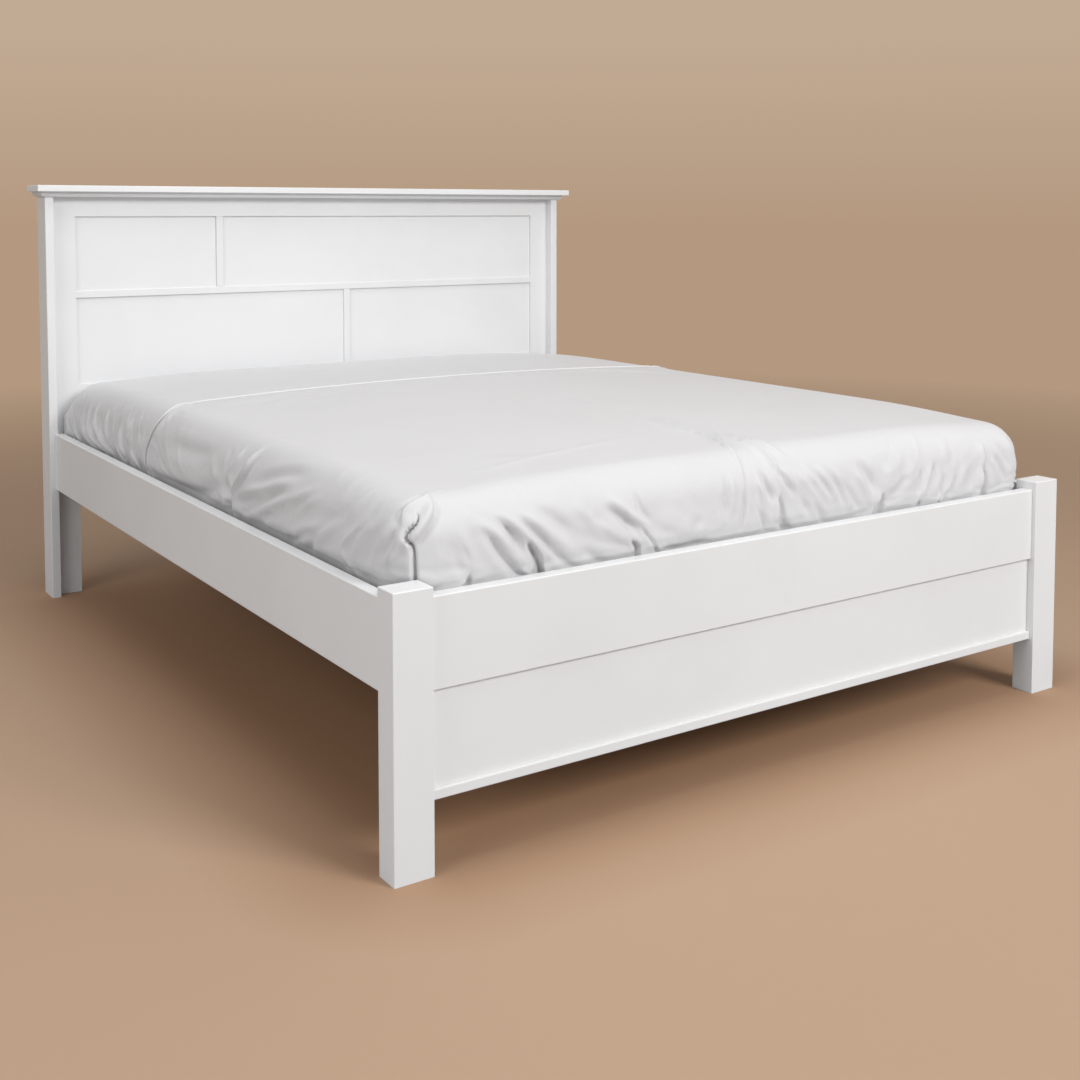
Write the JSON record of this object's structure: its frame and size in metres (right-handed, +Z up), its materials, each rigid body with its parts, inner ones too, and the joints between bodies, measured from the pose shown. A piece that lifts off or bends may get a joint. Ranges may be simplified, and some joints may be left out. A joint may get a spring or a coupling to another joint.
{
  "type": "panel bed",
  "caption": "Double bed of white painted boards: framed panel headboard with a cap, low panel footboard, slatted base, mattress, fitted sheet and top sheet.",
  "frame": {"origin": "on the floor, under the middle of the bed's outer box", "axes": "+Z up; +Y along the bed from the footboard to the headboard; +X across the bed, to the right as seen from the foot"},
  "size_m": [1.79, 2.124, 1.17],
  "materials": {
    "painted_wood": "satin white paint",
    "bare_wood": "planed softwood, unfinished",
    "plated_steel": "zinc plated",
    "glide_plastic": "moulded",
    "mattress_ticking": "quilted knit",
    "sheet_cotton": "pressed white cotton"
  },
  "bodies": {
    "bed_frame": {"beam_saddle_foot": "plated_steel", "beam_saddle_head": "plated_steel", "cap_dowels": "bare_wood", "centre_beam": "bare_wood", "centre_leg_foot": "bare_wood", "centre_leg_head": "bare_wood", "cleat_screws": "plated_steel", "corner_bolts": "plated_steel", "corner_plate_foot_left": "plated_steel", "corner_plate_foot_right": "plated_steel", "corner_plate_head_left": "plated_steel", "corner_plate_head_right": "plated_steel", "foot_ledge": "painted_wood", "foot_panel": "painted_wood", "foot_post_left": "painted_wood", "foot_post_right": "painted_wood", "foot_rail": "painted_wood", "head_bottom_rail": "painted_wood", "head_cap": "painted_wood", "head_cap_moulding": "painted_wood", "head_panel": "painted_wood", "head_side_board_left": "painted_wood", "head_side_board_right": "painted_wood", "head_stile_left": "painted_wood", "head_stile_right": "painted_wood", "head_strip_horizontal": "painted_wood", "head_strip_lower": "painted_wood", "head_strip_upper": "painted_wood", "head_support_rail": "painted_wood", "head_top_rail": "painted_wood", "leg_bolts": "plated_steel", "leg_glides": "glide_plastic", "saddle_screws": "plated_steel", "side_board_dowels": "bare_wood", "side_rail_left": "painted_wood", "side_rail_right": "painted_wood", "slat_01": "bare_wood", "slat_02": "bare_wood", "slat_03": "bare_wood", "slat_04": "bare_wood", "slat_05": "bare_wood", "slat_06": "bare_wood", "slat_07": "bare_wood", "slat_08": "bare_wood", "slat_09": "bare_wood", "slat_10": "bare_wood", "slat_11": "bare_wood", "slat_12": "bare_wood", "slat_13": "bare_wood", "slat_14": "bare_wood", "slat_cleat_left": "bare_wood", "slat_cleat_right": "bare_wood", "slat_screws": "plated_steel"},
    "bedding": {"mattress": "mattress_ticking", "fitted_sheet": "sheet_cotton", "top_sheet": "sheet_cotton"}
  },
  "joints": [
    {"name": "mattress_lift", "type": "slide", "parent": "bed_frame", "child": "bedding", "axis": [0, 0, 1], "range_m": [0, 0.3]}
  ]
}
